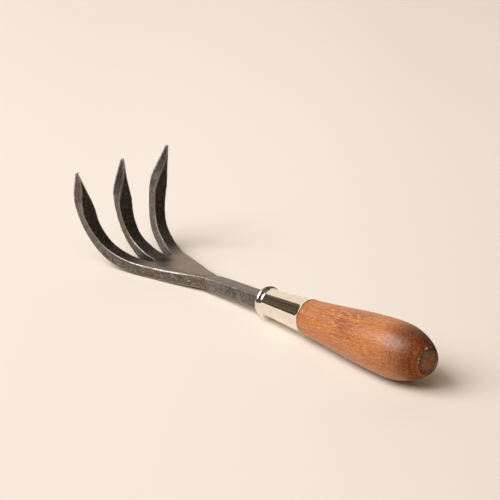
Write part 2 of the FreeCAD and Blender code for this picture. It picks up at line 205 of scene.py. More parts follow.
def loft(name, rings):
    """Closed skin through rings of equally many points, with a fan at each end."""
    n = len(rings[0])
    last = (len(rings) - 1) * n
    points = np.concatenate([*rings, [np.mean(rings[0], axis=0)],
                             [np.mean(rings[-1], axis=0)]])
    pairs = [(i, (i + 1) % n) for i in range(n)]
    faces = [(k + i, k + j, k + n + j, k + n + i)
             for k in range(0, last, n) for i, j in pairs]
    faces += [(j, i, last + n) for i, j in pairs]
    faces += [(last + i, last + j, last + n + 1) for i, j in pairs]
    return new_object(name, points, faces)


def catmull(points, steps):
    """Centripetal Catmull-Rom curve through (x, r) points, in steps per span."""
    p = [np.array(q, float) for q in points]
    p = [2 * p[0] - p[1]] + p + [2 * p[-1] - p[-2]]
    # the knots that each round of blending runs between
    rounds = (((0, 1), (1, 2), (2, 3)), ((0, 2), (1, 3)), ((1, 2),))
    curve = []
    for i in range(len(p) - 3):
        near = p[i:i + 4]
        knots = [0.0]
        for a, b in zip(near, near[1:]):
            knots.append(knots[-1] + np.linalg.norm(b - a) ** 0.5)
        for k in range(steps):
            t = knots[1] + (knots[2] - knots[1]) * k / steps
            level = near
            for spans in rounds:
                level = [(knots[b] - t) / (knots[b] - knots[a]) * level[j]
                         + (t - knots[a]) / (knots[b] - knots[a]) * level[j + 1]
                         for j, (a, b) in enumerate(spans)]
            curve.append(level[0])
    curve.append(p[-2])
    return [(float(x), float(r)) for x, r in curve]


def arc_points(centre_x, centre_r, radius, start, end, steps):
    """(x, r) points on a circle; angles in degrees, 0 along +x, 90 along +r."""
    angles = [math.radians(start + (end - start) * i / steps) for i in range(steps + 1)]
    return [(centre_x + radius * math.cos(a), centre_r + radius * math.sin(a))
            for a in angles]


# --------------------------------------------------------------- shader helpers
class Shader:
    """A node tree, with short calls for the nodes used here."""

    def __init__(self, tree):
        self.tree = tree

    def feed(self, socket, value):
        """Links a socket, or sets a value; a colour may leave out its alpha."""
        if isinstance(value, bpy.types.NodeSocket):
            self.tree.links.new(value, socket)
        elif socket.type == "RGBA" and len(value) == 3:
            socket.default_value = (*value, 1.0)
        else:
            socket.default_value = value

    def add(self, kind, inputs, **settings):
        node = self.tree.nodes.new("ShaderNode" + kind)
        for name, value in settings.items():
            setattr(node, name, value)
        for key, value in inputs.items():
            self.feed(node.inputs[key], value)
        return node

    def math(self, operation, a, b=None, clamp=False):
        inputs = {0: a} if b is None else {0: a, 1: b}
        return self.add("Math", inputs, operation=operation, use_clamp=clamp).outputs[0]

    def times(self, a, b, clamp=False):
        return self.math("MULTIPLY", a, b, clamp)

    def plus(self, a, b):
        return self.math("ADD", a, b)

    def minus(self, a, b):
        """a - b, held between 0 and 1"""
        return self.math("SUBTRACT", a, b, clamp=True)

    def most(self, a, b):
        return self.math("MAXIMUM", a, b)

    def hypot(self, a, b):
        return self.math("SQRT", self.plus(self.times(a, a), self.times(b, b)))

    def dot(self, vector, axis):
        return self.add("VectorMath", {0: vector, 1: tuple(axis)},
                        operation="DOT_PRODUCT").outputs["Value"]

    def split(self, vector):
        """The vector's x, y, z sockets"""
        return self.add("SeparateXYZ", {0: vector}).outputs

    def scaled(self, vector, scale, offset=(0, 0, 0)):
        return self.add("VectorMath", {0: vector, 1: scale, 2: offset},
                        operation="MULTIPLY_ADD").outputs["Vector"]

    def fade(self, value, span, to=(0.0, 1.0)):
        """Runs smoothly between the two `to` values as value crosses the span."""
        return self.add("MapRange", {
            "Value": value, "From Min": span[0], "From Max": span[1],
            "To Min": to[0], "To Max": to[1]}, interpolation_type="SMOOTHSTEP").outputs["Result"]

    def noise(self, scale, detail=4.0, rough=0.55, vector=None, distortion=0.0,
              stretch=None, offset=(0, 0, 0)):
        if vector is None:
            vector = self.point
        if stretch or offset != (0, 0, 0):
            vector = self.scaled(vector, stretch or (1, 1, 1), offset)
        return self.add("TexNoise", {
            "Vector": vector, "Scale": scale, "Detail": detail, "Roughness": rough,
            "Distortion": distortion}).outputs["Fac"]

    def lerp(self, a, b, by):
        return self.add("Mix", {"Factor": by, 2: a, 3: b}, data_type="FLOAT").outputs[0]

    def stack(self, value, *layers):
        """A number overlaid in turn by (mask, number) layers"""
        for mask, number in layers:
            value = self.lerp(value, number, by=mask)
        return value

    def coats(self, color, *layers):
        """A colour overlaid in turn by (mask, colour) or (mask, colour, amount)"""
        for mask, coat, *amount in layers:
            if amount:
                mask = self.times(mask, amount[0])
            color = self.add("Mix", {"Factor": mask, 6: color, 7: coat},
                             data_type="RGBA").outputs[2]
        return color


class Surface(Shader):
    """A material.  Its `point` is the place in tool millimetres, so noise scales are
    features per mm and places are those of the mesh tables."""

    def __init__(self, name):
        self.material = bpy.data.materials.new(name)
        self.material.use_nodes = True
        super().__init__(self.material.node_tree)
        self.tree.nodes.clear()
        output = self.add("OutputMaterial", {})
        self.bsdf = self.add("BsdfPrincipled", {})
        self.feed(output.inputs["Surface"], self.bsdf.outputs["BSDF"])
        coordinates = self.add("TexCoord", {}).outputs["Object"]
        self.point = self.scaled(self.untilted(coordinates), (1000.0, 1000.0, 1000.0),
                                 offset=(BUTT_FACE, 0.0, 0.0))

    def untilted(self, vector):
        return self.add("Mapping", {"Vector": vector, "Rotation": (0.0, -TILT, 0.0)},
                        vector_type="POINT").outputs["Vector"]

    def normal(self):
        """The normal's x, y, z in tool axes"""
        return self.split(self.untilted(self.add("NewGeometry", {}).outputs["Normal"]))

    def voronoi(self, scale):
        return self.add("TexVoronoi", {"Vector": self.point, "Scale": scale}
                        ).outputs["Distance"]

    def attribute(self, name):
        return self.add("Attribute", {}, attribute_type="GEOMETRY",
                        attribute_name=name).outputs["Fac"]

    def ramp(self, value, stops):
        """Colour ramp through (position, colour) stops"""
        node = self.add("ValToRGB", {"Fac": value})
        elements = node.color_ramp.elements
        while len(elements) > 1:
            elements.remove(elements[-1])
        elements[0].position = stops[0][0]
        elements[0].color = (*stops[0][1], 1.0)
        for position, color in stops[1:]:
            elements.new(position).color = (*color, 1.0)
        return node.outputs["Color"]

    def bumps(self, *layers):
        """Normal roughened in turn by (height, strength, depth in mm) layers"""
        inputs = {}
        for height, strength, depth in layers:
            inputs.update({"Height": height, "Strength": strength, "Distance": depth / 1000.0})
            inputs["Normal"] = self.add("Bump", inputs).outputs["Normal"]
        return inputs["Normal"]

    def blob(self, at, radii, soft):
        """1 inside an ellipsoid, 0 outside; soft is the edge's share of the radius"""
        offset = self.add("VectorMath", {0: self.point, 1: at}, operation="SUBTRACT")
        ratio = self.add("VectorMath", {0: offset.outputs[0], 1: radii}, operation="DIVIDE")
        length = self.add("VectorMath", {0: ratio.outputs[0]}, operation="LENGTH")
        return self.fade(length.outputs["Value"], span=(1.0 - soft, 1.0 + soft), to=(1.0, 0.0))

    def bounced(self, color, bounce_color):
        """What diffuse rays see is bounce_color; the eye and reflections see color."""
        diffuse = self.add("LightPath", {}).outputs["Is Diffuse Ray"]
        return self.coats(color, (diffuse, bounce_color))

    def finish(self, **inputs):
        for name, value in inputs.items():
            self.feed(self.bsdf.inputs[name.replace("_", " ")], value)
        return self.material


def srgb(*levels):
    """0-255 display levels -> linear colour"""
    levels = [c / 255.0 for c in levels]
    return tuple(c / 12.92 if c <= 0.04045 else ((c + 0.055) / 1.055) ** 2.4 for c in levels)


# -------------------------------------------------------------------- materials
def forged_steel():
    """The head: ground palm, rubbed scale on the sides, dark inner faces.
    Its attributes are the masks that build_head leaves on the mesh."""
    m = Surface("forged_steel")
    x, y, z = m.split(m.point)
    big = m.noise(scale=0.10, rough=0.6)
    mid = m.noise(scale=0.38, rough=0.6)
    patch = m.noise(scale=0.62, detail=5, rough=0.66, offset=(11, 2, 6), distortion=0.7,
                    stretch=(0.42, 1.0, 1.0))
    fine = m.noise(scale=1.5, rough=0.7)
    speck = m.noise(scale=0.85, detail=2, rough=0.5, offset=(17, 3, 9))
    wear_and_highlight = m.attribute("wear_and_highlight")
    hollow = m.attribute("hollow")
    top = m.attribute("palm_top")
    inner = m.attribute("inner_face")

    # sides: scale rubbed to a warm grey, blotched with darker patches
    side = m.ramp(m.lerp(patch, mid, by=0.55), [
        (0.34, (0.068, 0.053, 0.042)), (0.45, (0.132, 0.105, 0.085)),
        (0.54, (0.194, 0.159, 0.131)), (0.66, (0.278, 0.238, 0.211))])
    tip_noise = m.noise(scale=1.0, rough=0.7, offset=(4, 9, 4))
    tips = m.times(m.fade(z, span=(34.0, 52.0)), m.fade(y, span=(34.0, 24.0), to=(0.40, 1.0)))
    side = m.coats(
        side,
        (m.fade(fine, span=(0.50, 0.64), to=(0.0, 0.72)), (0.070, 0.054, 0.044)),
        (m.fade(big, span=(0.52, 0.38)), (0.080, 0.064, 0.053), 0.35),
        (m.fade(fine, span=(0.45, 0.32), to=(0.0, 0.6)), (0.34, 0.296, 0.265)),
        # darker up the tines
        (m.times(tips, m.fade(tip_noise, span=(0.40, 0.58), to=(0.50, 1.0))),
         (0.050, 0.041, 0.036)))

    # palm: ground and brushed, taupe
    brush = m.noise(scale=1.5, detail=3, stretch=(0.10, 1.0, 1.0))
    palm = m.ramp(m.lerp(brush, big, by=0.5), [
        (0.30, (0.185, 0.148, 0.113)), (0.50, (0.235, 0.190, 0.148)),
        (0.72, (0.275, 0.228, 0.182))])
    palm = m.coats(palm, (m.fade(fine, span=(0.55, 0.72), to=(0.0, 0.35)),
                          (0.11, 0.088, 0.070)))

    # inner faces: nearly black, gritty
    dark = m.ramp(m.lerp(patch, fine, by=0.6), [
        (0.40, (0.006, 0.004, 0.002)), (0.48, (0.014, 0.010, 0.006)),
        (0.54, (0.046, 0.035, 0.027)), (0.61, (0.15, 0.122, 0.102))])
    grit = m.noise(scale=1.9, detail=2, rough=0.5, offset=(8, 8, 2))
    dark = m.coats(dark, (m.fade(grit, span=(0.57, 0.67), to=(0.0, 0.75)),
                          (0.12, 0.098, 0.084)))

    pit = m.times(m.fade(speck, span=(0.60, 0.65)), m.minus(1.0, m.times(top, 0.85)))

    # painted shade in the crotch between the tines, over darker, duller scale
    crotch_shade_and_scale = m.most(
        m.blob(at=(105.6, 2.0, 3.0), radii=(6.8, 6.4, 8.0), soft=0.6),
        m.times(m.blob(at=(110.0, 0.0, 3.6), radii=(7.0, 7.0, 8.0), soft=0.5), 0.75))
    crotch_shade_and_scale = m.most(
        crotch_shade_and_scale, m.times(m.blob(at=(99.0, 7.0, 3.0), radii=(5.4, 3.8, 8.0), soft=0.6), 0.7))
    crotch_shade_and_scale = m.times(crotch_shade_and_scale, m.fade(mid, span=(0.32, 0.55), to=(0.78, 1.0)))
    crotch_shade_and_scale = m.times(crotch_shade_and_scale, m.fade(m.normal()[2], span=(0.3, 0.7)))

    # painted shade on the slot walls near their roots, where the neighbouring tines hide them
    # from the light
    slot_root_shade = m.most(
        m.blob(at=(115.0, 6.5, -1.0), radii=(13.0, 6.5, 7.0), soft=0.5),
        m.times(m.blob(at=(111.0, -11.5, -1.0), radii=(9.0, 6.0, 7.0), soft=0.5), 0.6))
    slot_root_shade = m.times(slot_root_shade, m.fade(m.normal()[2], span=(0.5, 0.1)))

    # the underside is darker and browner; where it turns up to +Y it gets a painted reflection
    # of the warm floor
    under = m.fade(m.normal()[2], span=(-0.55, -0.9))
    underside_tone = m.ramp(patch, [(0.35, (0.05, 0.036, 0.027)), (0.65, (0.115, 0.088, 0.068))])
    normal = m.normal()
    low = m.times(m.fade(normal[2], span=(-0.22, -0.55)), m.fade(normal[1], span=(0.05, 0.35)))

    # rubbed edges: cold and bright bare metal, partly a painted highlight where the light
    # catches them; painted warm light where they face -Y
    edge = m.times(wear_and_highlight, m.fade(m.lerp(mid, fine, by=0.5), span=(0.30, 0.52), to=(0.45, 1.0)),
                   clamp=True)
    far_side_warm_light = m.times(m.fade(m.normal()[1], span=(-0.15, -0.5)), m.fade(z, span=(2.0, 10.0)))
    rubbed_and_lit = m.coats((0.52, 0.49, 0.485), (far_side_warm_light, (0.42, 0.30, 0.19)))

    # weld spatter bead on the +Y side: a painted highlight on the bead, in a painted shadow ring
    # deepest below it
    bead = m.blob(at=(70.2, 8.4, -1.9), radii=(0.95, 2.0, 0.95), soft=0.35)
    ring = m.minus(m.blob(at=(70.35, 8.4, -2.3), radii=(1.75, 2.2, 1.75), soft=0.3), bead)

    base = m.coats(
        side,
        (top, palm),
        (inner, dark),
        # painted warm light on the tines' -Y faces near their points
        (m.times(m.attribute("rim"), m.fade(mid, span=(0.35, 0.55), to=(0.8, 1.0))),
         (0.34, 0.23, 0.14)),
        (pit, (0.022, 0.016, 0.012), 0.8),
        # painted shade and darker scale in the crotch between the tines
        (crotch_shade_and_scale, (0.018, 0.013, 0.010), 0.96),
        # painted shade on the slot walls near their roots
        (slot_root_shade, (0.032, 0.025, 0.020), 0.85),
        (hollow, (0.03, 0.024, 0.02), 0.6),
        (under, underside_tone, 0.7),
        # painted reflection of the warm floor on the lower +Y turn, strongest towards the neck
        (m.times(low, m.fade(x, span=(118.0, 96.0), to=(0.0, 0.6))), (0.50, 0.38, 0.24)),
        # rubbed edges with painted highlights, and painted warm light on their -Y side
        (edge, rubbed_and_lit, 0.8),
        # painted shadow ring and painted highlight of the spatter bead
        (ring, (0.045, 0.034, 0.026), 0.75),
        (bead, (0.46, 0.40, 0.34), 0.85))
    rough = m.stack(
        m.fade(patch, span=(0.3, 0.7), to=(0.50, 0.36)),
        (top, m.fade(brush, span=(0.3, 0.7), to=(0.30, 0.40))),
        (inner, m.fade(fine, span=(0.3, 0.7), to=(0.62, 0.48))),
        (pit, 0.75),
        (m.times(edge, 0.8), m.fade(x, span=(84.0, 104.0), to=(0.47, 0.27))),
        (crotch_shade_and_scale, 0.65))
    normal = m.bumps(
        (m.noise(scale=0.30, detail=3, offset=(5, 5, 5)), 0.30, 0.30),
        (patch, 0.45, 0.14),
        (m.noise(scale=1.5, rough=0.7, offset=(2, 8, 1)), 0.50, 0.10),
        (m.times(pit, -1.0), 0.8, 0.15),
        (m.times(brush, top), 0.35, 0.04))
    return m.finish(
        # brighter and warmer to diffuse rays than to the eye: stands in for light the steel
        # throws onto the floor
        Base_Color=m.bounced(base, (0.30, 0.26, 0.19)),
        Roughness=rough,
        Metallic=m.stack(0.62, (top, 0.70), (inner, 0.25), (crotch_shade_and_scale, 0.2), (edge, 0.95)),
        Specular_IOR_Level=m.stack(0.55, (inner, 0.20), (crotch_shade_and_scale, 0.15)),
        Normal=normal)


def neck_steel(name, striation):
    """The bar and the weld; striation is the strength of the marks across it."""
    m = Surface(name)
    x = m.split(m.point)[0]
    big = m.noise(scale=0.10, rough=0.6, offset=(31, 0, 0))
    patch = m.noise(scale=0.8, detail=5, rough=0.68, offset=(3, 7, 1), distortion=0.5)
    across = m.noise(scale=2.2, detail=3, rough=0.6, stretch=(1.0, 0.10, 0.10))
    along = m.noise(scale=1.8, detail=3, rough=0.6, stretch=(0.06, 1.0, 1.0))
    fine = m.noise(scale=1.9, rough=0.7)
    normal = m.normal()

    side = m.ramp(m.lerp(patch, big, by=0.3), [
        (0.37, (0.034, 0.028, 0.026)), (0.46, (0.098, 0.081, 0.072)),
        (0.54, (0.182, 0.156, 0.140)), (0.64, (0.290, 0.256, 0.236))])
    side = m.coats(
        side,
        (m.fade(fine, span=(0.50, 0.70), to=(0.0, 0.6)), (0.055, 0.046, 0.041)),
        # brighter marks towards the weld, darker steel by the ferrule
        (m.times(m.fade(across, span=(0.50, 0.64)), m.times(m.fade(x, span=(26.0, 52.0)), 0.55)),
         (0.30, 0.27, 0.245)),
        (m.fade(x, span=(16.0, 4.0)), (0.055, 0.047, 0.042), 0.45))

    upper = m.ramp(m.lerp(along, big, by=0.5), [
        (0.30, (0.172, 0.138, 0.108)), (0.50, (0.220, 0.178, 0.141)),
        (0.72, (0.268, 0.221, 0.180))])
    upper = m.coats(upper, (m.fade(fine, span=(0.54, 0.72), to=(0.0, 0.4)),
                            (0.10, 0.082, 0.068)))

    # painted reflection of the warm floor, on faces turning from the underside up to +Y
    low = m.times(m.fade(normal[2], span=(-0.22, -0.55)), m.fade(normal[1], span=(0.05, 0.35)))
    # the broken upper corner: rubbed brighter and colder than the faces, plus a painted
    # highlight where it faces up to the light
    ridge_wear_and_highlight = m.times(m.fade(normal[2], span=(0.35, 0.60)), m.fade(normal[2], span=(0.93, 0.80)))
    ridge_wear_and_highlight = m.times(ridge_wear_and_highlight, m.fade(m.lerp(patch, fine, by=0.5), span=(0.40, 0.55),
                                  to=(0.15, 1.0)))
    ridge_wear_and_highlight = m.times(ridge_wear_and_highlight, m.fade(x, span=(4.0, 46.0), to=(0.25, 1.0)))
    base = m.coats(
        side,
        (m.fade(normal[2], span=(0.80, 0.97)), upper),
        # underside darker; where it turns up to +Y, a painted reflection of the warm floor
        (m.fade(normal[2], span=(-0.6, -0.9)), (0.085, 0.066, 0.052), 0.6),
        (low, (0.46, 0.37, 0.25), 0.6),
        # painted shade inside the ferrule's mouth
        (m.fade(x, span=(-1.5, 1.2), to=(1.0, 0.0)), (0.02, 0.017, 0.015), 0.85),
        (ridge_wear_and_highlight, (0.29, 0.262, 0.252), 0.65))

    facet = m.times(m.fade(normal[2], span=(0.30, 0.55)), m.fade(normal[2], span=(0.96, 0.84)))
    rough = m.stack(m.fade(patch, span=(0.3, 0.7), to=(0.46, 0.34)),
                    (facet, m.fade(patch, span=(0.3, 0.7), to=(0.66, 0.52))))
    dents = m.noise(scale=0.35, detail=3)
    return m.finish(
        # brighter and warmer to diffuse rays than to the eye: stands in for light the steel
        # throws onto the floor
        Base_Color=m.bounced(base, (0.56, 0.48, 0.35)),
        Roughness=rough,
        Metallic=0.65,
        Specular_IOR_Level=0.55,
        Normal=m.bumps((dents, 0.3, 0.22), (patch, 0.5, 0.12), (fine, 0.5, 0.08),
                       (across, striation, 0.06)))


def nickel():
    m = Surface("nickel_plate")
    cloud = m.noise(scale=0.10)
    scratch = m.noise(scale=6.0, detail=2, rough=0.5, stretch=(0.05, 1.0, 1.0))
    swirl = m.noise(scale=0.8, detail=5, rough=0.6)
    brushed = m.noise(scale=2.6, rough=0.65, stretch=(0.045, 1.0, 1.0), offset=(0, 3, 5))
    base = m.coats(
        (0.90, 0.85, 0.765),
        (m.fade(cloud, span=(0.35, 0.7)), (0.86, 0.80, 0.70)),
        (m.fade(brushed, span=(0.52, 0.66), to=(0.0, 0.55)), (0.62, 0.52, 0.42)),
        (m.fade(swirl, span=(0.56, 0.70), to=(0.0, 0.22)), (0.60, 0.50, 0.40)))
    rough = m.plus(m.fade(swirl, span=(0.3, 0.75), to=(0.040, 0.085)),
                   m.fade(scratch, span=(0.62, 0.8), to=(0.0, 0.05)))
    return m.finish(
        # warmer to diffuse rays than to the eye: stands in for the light the plating throws onto
        # the floor
        Base_Color=m.bounced(base, (0.90, 0.78, 0.57)),
        Roughness=rough,
        Metallic=1.0,
        Normal=m.bumps((cloud, 0.25, 0.10), (scratch, 0.06, 0.012), (swirl, 0.10, 0.010)))


def wood():
    m = Surface("handle_wood")
    x, y, z = m.split(m.point)

    # the grain wanders sideways by up to this many mm
    wander = m.add("TexNoise", {"Vector": m.point, "Scale": 0.022, "Detail": 2.0})
    grain_point = m.scaled(wander.outputs["Color"], (0.0, 9.0, 9.0), offset=m.point)

    def grain(**settings):
        return m.noise(vector=grain_point, **settings)

    # growth layers: distance from a pith far below the handle
    pith_x, pith_y, pith_z = m.split(
        m.scaled(grain_point, (0.07, 1.0, 1.0), offset=(6.0, -22.0, 42.0)))
    radius = m.math("SQRT", m.plus(
        m.times(pith_y, pith_y), m.times(m.plus(pith_z, pith_x), m.plus(pith_z, pith_x))))
    ring_noise = grain(scale=0.9, detail=2, rough=0.5, stretch=(0.02, 1, 1))
    rings_per_mm, ring_wobble = 0.42, 0.55
    saw = m.math("FRACT", m.plus(m.times(radius, rings_per_mm),
                                 m.times(ring_noise, ring_wobble)))
    ring = m.times(m.fade(saw, span=(0.0, 0.75)), m.fade(saw, span=(1.0, 0.86)))

    streak = grain(scale=0.55, detail=5, rough=0.62, stretch=(0.035, 1, 1))
    thin_streak = grain(scale=2.4, rough=0.6, stretch=(0.03, 1, 1))
    tone = m.noise(scale=0.035, detail=3, rough=0.5, offset=(3, 1, 7))
    fibre = grain(scale=1.7, rough=0.66, stretch=(0.085, 1, 1), offset=(2, 2, 8))
    fleck = grain(scale=2.0, detail=3, rough=0.6, stretch=(0.5, 1, 1), offset=(7, 1, 3))

    # pores: short dark dashes along the grain, coarse and fine
    coarse = grain(scale=1.9, detail=2, rough=0.5, stretch=(0.16, 1, 1), offset=(0, 4, 4))
    small = grain(scale=3.6, detail=1, rough=0.4, stretch=(0.12, 1, 1), offset=(9, 4, 1))
    pore = m.most(m.fade(coarse, span=(0.60, 0.68)),
                  m.times(m.fade(small, span=(0.63, 0.72)), 0.8))

    # flame figure, reddish, on the upper +Y side
    flame_area = m.blob(at=(-85.0, 9.0, 13.0), radii=(20.0, 10.0, 12.0), soft=0.8)
    flame = grain(scale=0.5, rough=0.6, stretch=(0.25, 1.3, 1.3), distortion=1.4)

    # darker and redder towards the butt: end grain drinks more oil, plus painted shade on the -Y
    # side away from the light
    butt_oil_and_shade = m.times(m.fade(m.plus(x, m.times(z, -0.35)), span=(-125.0, -150.0)),
                   m.fade(y, span=(-22.0, 18.0), to=(1.0, 0.72)))
    butt_noise = m.noise(scale=0.55, detail=5, rough=0.68, offset=(0, 0, 2), distortion=0.6)
    # painted shade on the butt's -Y side, away from the light
    butt_far_shade = m.times(m.fade(x, span=(-124.0, -146.0)), m.fade(y, span=(6.0, -8.0)))
    cells = m.noise(scale=0.85, rough=0.68, offset=(5, 1, 1))

    # a redder, lighter lip around the plug, strongest below it
    lip = m.times(m.fade(x, span=(-149.4, -151.4)), m.fade(z, span=(5.0, -3.0)))

    # painted glints against the plug, one of them large
    large_glint = m.blob(at=(-151.7, 1.0, 9.25), radii=(1.0, 1.1, 0.45), soft=0.6)
    glints = m.most(m.blob(at=(-151.9, 8.5, 2.3), radii=(0.8, 0.6, 0.5), soft=0.6),
                   m.blob(at=(-151.8, 7.7, 4.4), radii=(0.8, 0.5, 0.45), soft=0.6))
    glints = m.most(glints, m.blob(at=(-151.8, -2.6, 9.0), radii=(0.8, 0.8, 0.4), soft=0.6))

    turning = m.noise(scale=1.6, detail=3, rough=0.6, stretch=(1.0, 0.03, 0.03))

    base = m.ramp(m.lerp(streak, tone, by=0.45), [
        (0.28, srgb(160, 89, 36)), (0.43, srgb(184, 109, 48)), (0.57, srgb(202, 126, 60)),
        (0.74, srgb(216, 142, 74))])
    base = m.coats(
        base,
        (ring, srgb(150, 80, 36), 0.22),
        (m.fade(thin_streak, span=(0.50, 0.70), to=(0.0, 0.5)), srgb(138, 72, 30)),
        (m.fade(fibre, span=(0.49, 0.62), to=(0.0, 0.55)), srgb(146, 74, 28)),
        (m.fade(fibre, span=(0.47, 0.35), to=(0.0, 0.42)), srgb(228, 154, 84)),
        (m.fade(fleck, span=(0.55, 0.66), to=(0.0, 0.32)), srgb(134, 66, 28)),
        (m.fade(fleck, span=(0.42, 0.32), to=(0.0, 0.28)), srgb(228, 156, 92)),
        (pore, srgb(88, 38, 14), 0.75),
        (m.times(flame_area, m.fade(flame, span=(0.47, 0.56), to=(0.0, 0.8))),
         srgb(136, 60, 26)),
        (m.times(flame_area, m.fade(flame, span=(0.45, 0.38), to=(0.0, 0.6))),
         srgb(232, 158, 92)),
        # oiled end grain and painted shade towards the butt
        (m.times(butt_oil_and_shade, m.fade(butt_noise, span=(0.34, 0.58), to=(0.40, 1.0))),
         srgb(80, 34, 9)),
        (butt_far_shade, srgb(66, 27, 8), 0.65),
        (m.times(butt_oil_and_shade, m.fade(cells, span=(0.50, 0.58), to=(0.0, 0.8))), srgb(42, 16, 6)),
        (m.times(butt_oil_and_shade, m.fade(cells, span=(0.47, 0.38), to=(0.0, 0.45))), srgb(164, 86, 40)),
        (lip, srgb(188, 98, 44), 0.6),
        # painted glints against the plug
        (large_glint, (0.85, 0.52, 0.36), 0.8),
        (glints, (0.60, 0.34, 0.19), 0.7),
        # turning lines near the butt, darker next to the ferrule
        (m.times(m.fade(x, span=(-118.0, -140.0)),
                 m.fade(turning, span=(0.50, 0.62), to=(0.0, 0.65))), srgb(88, 42, 18)),
        (m.fade(x, span=(-45.6, -43.6), to=(0.0, 0.5)), srgb(120, 62, 30)))

    dry = m.most(m.times(m.fade(x, span=(-136.0, -147.0)), 0.9), butt_far_shade)
    rough = m.stack(m.fade(thin_streak, span=(0.3, 0.7), to=(0.36, 0.46)),
                    (pore, 0.75), (dry, 0.62))
    normal = m.bumps(
        (thin_streak, 0.12, 0.05),
        (m.times(pore, -1.0), 0.5, 0.06),
        (turning, 0.12, 0.03),
        (fibre, 0.22, 0.06),
        (m.times(cells, butt_oil_and_shade), 0.5, 0.14))
    return m.finish(
        # duller to the floor and the ferrule's diffuse light than to the eye
        Base_Color=m.bounced(base, (0.48, 0.255, 0.085)),
        Roughness=rough,
        Specular_IOR_Level=m.lerp(0.55, 0.08, by=dry),
        Normal=normal,
        Coat_Weight=m.lerp(0.22, 0.0, by=dry),
        Coat_Roughness=0.27)


def end_grain():
    m = Surface("end_grain")
    _, y, z = m.split(m.point)

    # growth rings about a pith off the plug's middle
    pith_y, pith_z = m.split(m.scaled(m.point, (1, 1, 1), offset=(0, 3.2, -2.0)))[1:3]
    radius = m.hypot(pith_y, pith_z)
    wobble = m.noise(scale=0.35, detail=3, rough=0.6)
    rings_per_mm, ring_wobble = 0.75, 1.6
    saw = m.math("FRACT", m.plus(m.times(radius, rings_per_mm), m.times(wobble, ring_wobble)))
    ring = m.fade(saw, span=(0.1, 0.9))

    fine = m.noise(scale=2.2, detail=5, rough=0.7)
    big = m.noise(scale=0.22, detail=3, rough=0.6, offset=(1, 2, 3))
    heart = m.blob(at=(-153.0, 1.4, -0.4), radii=(6.0, 3.6, 3.6), soft=0.7)
    cells = m.voronoi(scale=2.8)
    chunk = m.noise(scale=0.55, detail=3, rough=0.6, offset=(4, 4, 4))
    base = m.ramp(m.lerp(fine, big, by=0.4), [
        (0.38, srgb(56, 36, 22)), (0.5, srgb(126, 87, 56)), (0.62, srgb(198, 142, 94))])
    base = m.coats(
        base,
        (ring, srgb(78, 52, 34), 0.35),
        (m.times(heart, m.fade(fine, span=(0.4, 0.6), to=(0.2, 0.7))), srgb(186, 96, 58)),
        (m.fade(cells, span=(0.22, 0.05), to=(0.0, 0.5)), srgb(40, 24, 15)),
        # the plug's rim
        (m.fade(m.hypot(y, z), span=(6.6, 8.0)), srgb(66, 46, 32), 0.55),
        (m.fade(chunk, span=(0.52, 0.64), to=(0.0, 0.6)), srgb(62, 44, 28)))
    return m.finish(
        Base_Color=base,
        Roughness=m.fade(fine, span=(0.3, 0.7), to=(0.55, 0.75)),
        Specular_IOR_Level=0.35,
        Normal=m.bumps((fine, 1.0, 0.26), (chunk, 0.6, 0.35), (ring, 0.4, 0.08),
                       (cells, 0.7, 0.12)))


def zinc():
    m = Surface("zinc_steel")
    spangle = m.voronoi(scale=1.2)
    cloud = m.noise(scale=0.5, rough=0.6)
    base = m.coats(
        (0.52, 0.53, 0.55),
        (cloud, (0.66, 0.66, 0.64)),
        (m.fade(spangle, span=(0.0, 0.6), to=(0.25, 0.0)), (0.42, 0.43, 0.46)))
    return m.finish(
        Base_Color=base,
        Roughness=m.fade(cloud, span=(0.3, 0.7), to=(0.28, 0.42)),
        Metallic=1.0,
        Normal=m.bumps((m.noise(scale=2.5, rough=0.6), 0.2, 0.03)))


STEEL = forged_steel()
NECK = neck_steel("neck_steel", striation=0.5)
WELD = neck_steel("weld_steel", striation=1.0)
NICKEL, WOOD, END_GRAIN, ZINC = nickel(), wood(), end_grain(), zinc()

# -------------------------------------------------------------------- tine head
VOXEL = 0.00038     # metres

# spatter and craters on the +Y side: x, y, z, radius, height
SPOTS = (
    (70.2, 7.7, -1.9, 0.85, 0.55), (70.9, 8.0, -3.4, 0.6, -0.30),
    (68.6, 7.3, -2.9, 0.45, -0.22), (77.5, 9.7, -1.2, 0.7, -0.22),
    (84.0, 11.3, -3.2, 0.6, -0.22), (62.6, 6.0, -1.4, 0.5, -0.18))

# burr curled over at the +Y point: x, y, z, radius
BURR = (
    (145.7, 40.7, 66.2, 0.60), (145.7, 40.6, 66.8, 0.56), (145.6, 40.3, 67.2, 0.52),
    (145.45, 39.9, 67.5, 0.48), (145.3, 39.45, 67.7, 0.44), (145.2, 39.1, 67.75, 0.32))
BURR_SIDES = 10


def remeshed_head():
    """The CAD head's skin, rebuilt in even small faces."""
    coarse = frame["nodes"]["tine_head"].data.copy()
    ob = bpy.data.objects.new("forged_head", coarse)
    bpy.context.scene.collection.objects.link(ob)
    bm = bmesh.new()
    bm.from_mesh(coarse)
    bmesh.ops.remove_doubles(bm, verts=bm.verts, dist=2e-6)
    bm.to_mesh(coarse)
    bm.free()
    remesh = ob.modifiers.new("remesh", "REMESH")
    remesh.mode = "VOXEL"
    remesh.voxel_size = VOXEL
    remesh.adaptivity = 0.0
    depsgraph = bpy.context.evaluated_depsgraph_get()
    fine = bpy.data.meshes.new_from_object(ob.evaluated_get(depsgraph))
    ob.modifiers.clear()
    ob.data = fine
    bpy.data.meshes.remove(coarse)
    fine.name = "forged_head"
    return ob


def neighbour_mean(mesh):
    """A function that gives each vertex the mean of its neighbours' values."""
    count = len(mesh.vertices)
    ends = np.zeros(len(mesh.edges) * 2, int)
    mesh.edges.foreach_get("vertices", ends)
    degree = np.bincount(ends, minlength=count).astype(float)
    first, second = ends.reshape(-1, 2).T

    def mean(values):
        if values.ndim > 1:
            return np.stack([mean(column) for column in values.T], -1)
        return (np.bincount(first, values[second], count)
                + np.bincount(second, values[first], count)) / degree

    return mean


